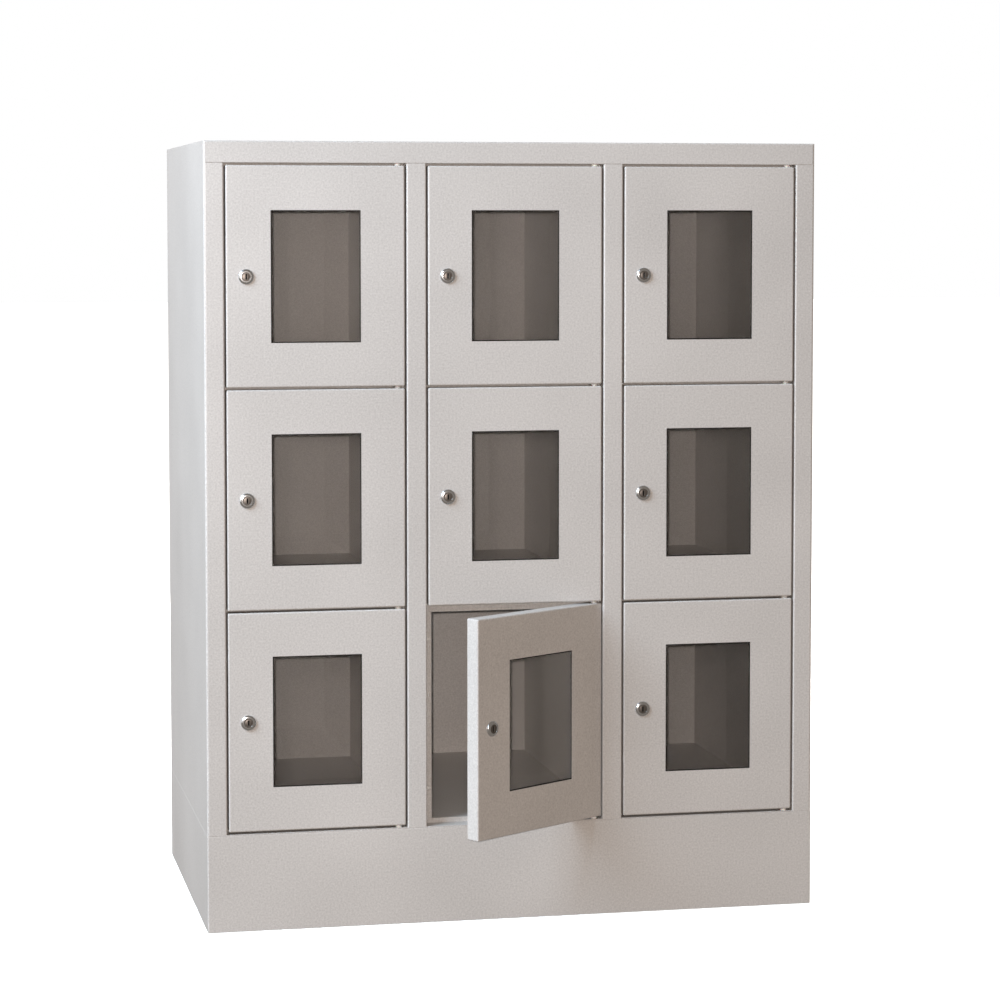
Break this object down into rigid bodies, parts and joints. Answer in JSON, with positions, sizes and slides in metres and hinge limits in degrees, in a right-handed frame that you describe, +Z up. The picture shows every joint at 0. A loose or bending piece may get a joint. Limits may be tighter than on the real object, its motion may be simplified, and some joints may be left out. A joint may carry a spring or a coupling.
{
  "type": "compartment locker",
  "caption": "Low sheet steel compartment locker with inset hinged doors that have clear windows and cam locks, on a closed plinth.",
  "frame": {"origin": "middle of the closed cabinet's footprint at floor level, on the plane of the plinth's base", "axes": "+X to the right seen from the front, +Y from the door fronts to the back, +Z up"},
  "size_m": [0.836, 0.6247, 1.05],
  "materials": {
    "powder_coated_steel": "light grey powder coat, fine orange peel, satin",
    "clear_acrylic": "clear, polished",
    "chrome_plated_lock": "polished nickel chrome",
    "zinc_plated_steel": "bright zinc plate",
    "white_nylon": "moulded, satin",
    "clear_silicone": "translucent, soft"
  },
  "bodies": {
    "carcass": {"plinth": "powder_coated_steel", "left_side_panel": "powder_coated_steel", "right_side_panel": "powder_coated_steel", "back_panel": "powder_coated_steel", "roof_panel": "powder_coated_steel", "bottom_panel": "powder_coated_steel", "mullion_1": "powder_coated_steel", "mullion_2": "powder_coated_steel", "column_1_left_wall": "powder_coated_steel", "column_1_right_wall": "powder_coated_steel", "shelf_1_1": "powder_coated_steel", "shelf_1_2": "powder_coated_steel", "column_2_left_wall": "powder_coated_steel", "column_2_right_wall": "powder_coated_steel", "shelf_2_1": "powder_coated_steel", "shelf_2_2": "powder_coated_steel", "column_3_left_wall": "powder_coated_steel", "column_3_right_wall": "powder_coated_steel", "shelf_3_1": "powder_coated_steel", "shelf_3_2": "powder_coated_steel", "hinge_pins": "zinc_plated_steel", "hinge_washers": "white_nylon", "door_buffers": "clear_silicone"},
    "door_1_1": {"door_1_1": "powder_coated_steel", "window_pane_1_1": "clear_acrylic", "lock_housing_1_1": "chrome_plated_lock"},
    "lock_1_1": {"lock_cam_1_1": "zinc_plated_steel"},
    "door_1_2": {"door_1_2": "powder_coated_steel", "window_pane_1_2": "clear_acrylic", "lock_housing_1_2": "chrome_plated_lock"},
    "lock_1_2": {"lock_cam_1_2": "zinc_plated_steel"},
    "door_1_3": {"door_1_3": "powder_coated_steel", "window_pane_1_3": "clear_acrylic", "lock_housing_1_3": "chrome_plated_lock"},
    "lock_1_3": {"lock_cam_1_3": "zinc_plated_steel"},
    "door_2_1": {"door_2_1": "powder_coated_steel", "window_pane_2_1": "clear_acrylic", "lock_housing_2_1": "chrome_plated_lock"},
    "lock_2_1": {"lock_cam_2_1": "zinc_plated_steel"},
    "door_2_2": {"door_2_2": "powder_coated_steel", "window_pane_2_2": "clear_acrylic", "lock_housing_2_2": "chrome_plated_lock"},
    "lock_2_2": {"lock_cam_2_2": "zinc_plated_steel"},
    "door_2_3": {"door_2_3": "powder_coated_steel", "window_pane_2_3": "clear_acrylic", "lock_housing_2_3": "chrome_plated_lock"},
    "lock_2_3": {"lock_cam_2_3": "zinc_plated_steel"},
    "door_3_1": {"door_3_1": "powder_coated_steel", "window_pane_3_1": "clear_acrylic", "lock_housing_3_1": "chrome_plated_lock"},
    "lock_3_1": {"lock_cam_3_1": "zinc_plated_steel"},
    "door_3_2": {"door_3_2": "powder_coated_steel", "window_pane_3_2": "clear_acrylic", "lock_housing_3_2": "chrome_plated_lock"},
    "lock_3_2": {"lock_cam_3_2": "zinc_plated_steel"},
    "door_3_3": {"door_3_3": "powder_coated_steel", "window_pane_3_3": "clear_acrylic", "lock_housing_3_3": "chrome_plated_lock"},
    "lock_3_3": {"lock_cam_3_3": "zinc_plated_steel"}
  },
  "joints": [
    {"name": "door_1_1_swing", "type": "hinge", "parent": "carcass", "child": "door_1_1", "pos_m": [-0.15967, -0.2435, 0.87167], "axis": [0, 0, 1], "range_deg": [0, 110]},
    {"name": "lock_1_1_turn", "type": "hinge", "parent": "door_1_1", "child": "lock_1_1", "pos_m": [-0.3625, -0.25, 0.87167], "axis": [0, 1, 0], "range_deg": [0, 90]},
    {"name": "door_1_2_swing", "type": "hinge", "parent": "carcass", "child": "door_1_2", "pos_m": [-0.15967, -0.2435, 0.576], "axis": [0, 0, 1], "range_deg": [0, 110]},
    {"name": "lock_1_2_turn", "type": "hinge", "parent": "door_1_2", "child": "lock_1_2", "pos_m": [-0.3625, -0.25, 0.576], "axis": [0, 1, 0], "range_deg": [0, 90]},
    {"name": "door_1_3_swing", "type": "hinge", "parent": "carcass", "child": "door_1_3", "pos_m": [-0.15967, -0.2435, 0.28033], "axis": [0, 0, 1], "range_deg": [0, 110]},
    {"name": "lock_1_3_turn", "type": "hinge", "parent": "door_1_3", "child": "lock_1_3", "pos_m": [-0.3625, -0.25, 0.28033], "axis": [0, 1, 0], "range_deg": [0, 90]},
    {"name": "door_2_1_swing", "type": "hinge", "parent": "carcass", "child": "door_2_1", "pos_m": [0.11017, -0.2435, 0.87167], "axis": [0, 0, 1], "range_deg": [0, 110]},
    {"name": "lock_2_1_turn", "type": "hinge", "parent": "door_2_1", "child": "lock_2_1", "pos_m": [-0.09267, -0.25, 0.87167], "axis": [0, 1, 0], "range_deg": [0, 90]},
    {"name": "door_2_2_swing", "type": "hinge", "parent": "carcass", "child": "door_2_2", "pos_m": [0.11017, -0.2435, 0.576], "axis": [0, 0, 1], "range_deg": [0, 110]},
    {"name": "lock_2_2_turn", "type": "hinge", "parent": "door_2_2", "child": "lock_2_2", "pos_m": [-0.09267, -0.25, 0.576], "axis": [0, 1, 0], "range_deg": [0, 90]},
    {"name": "door_2_3_swing", "type": "hinge", "parent": "carcass", "child": "door_2_3", "pos_m": [0.11017, -0.2435, 0.28033], "axis": [0, 0, 1], "range_deg": [-33.5, 76.5]},
    {"name": "lock_2_3_turn", "type": "hinge", "parent": "door_2_3", "child": "lock_2_3", "pos_m": [-0.05539, -0.36087, 0.28033], "axis": [-0.5519, 0.8339, 0], "range_deg": [0, 90]},
    {"name": "door_3_1_swing", "type": "hinge", "parent": "carcass", "child": "door_3_1", "pos_m": [0.38, -0.2435, 0.87167], "axis": [0, 0, 1], "range_deg": [0, 110]},
    {"name": "lock_3_1_turn", "type": "hinge", "parent": "door_3_1", "child": "lock_3_1", "pos_m": [0.17717, -0.25, 0.87167], "axis": [0, 1, 0], "range_deg": [0, 90]},
    {"name": "door_3_2_swing", "type": "hinge", "parent": "carcass", "child": "door_3_2", "pos_m": [0.38, -0.2435, 0.576], "axis": [0, 0, 1], "range_deg": [0, 110]},
    {"name": "lock_3_2_turn", "type": "hinge", "parent": "door_3_2", "child": "lock_3_2", "pos_m": [0.17717, -0.25, 0.576], "axis": [0, 1, 0], "range_deg": [0, 90]},
    {"name": "door_3_3_swing", "type": "hinge", "parent": "carcass", "child": "door_3_3", "pos_m": [0.38, -0.2435, 0.28033], "axis": [0, 0, 1], "range_deg": [0, 110]},
    {"name": "lock_3_3_turn", "type": "hinge", "parent": "door_3_3", "child": "lock_3_3", "pos_m": [0.17717, -0.25, 0.28033], "axis": [0, 1, 0], "range_deg": [0, 90]}
  ]
}
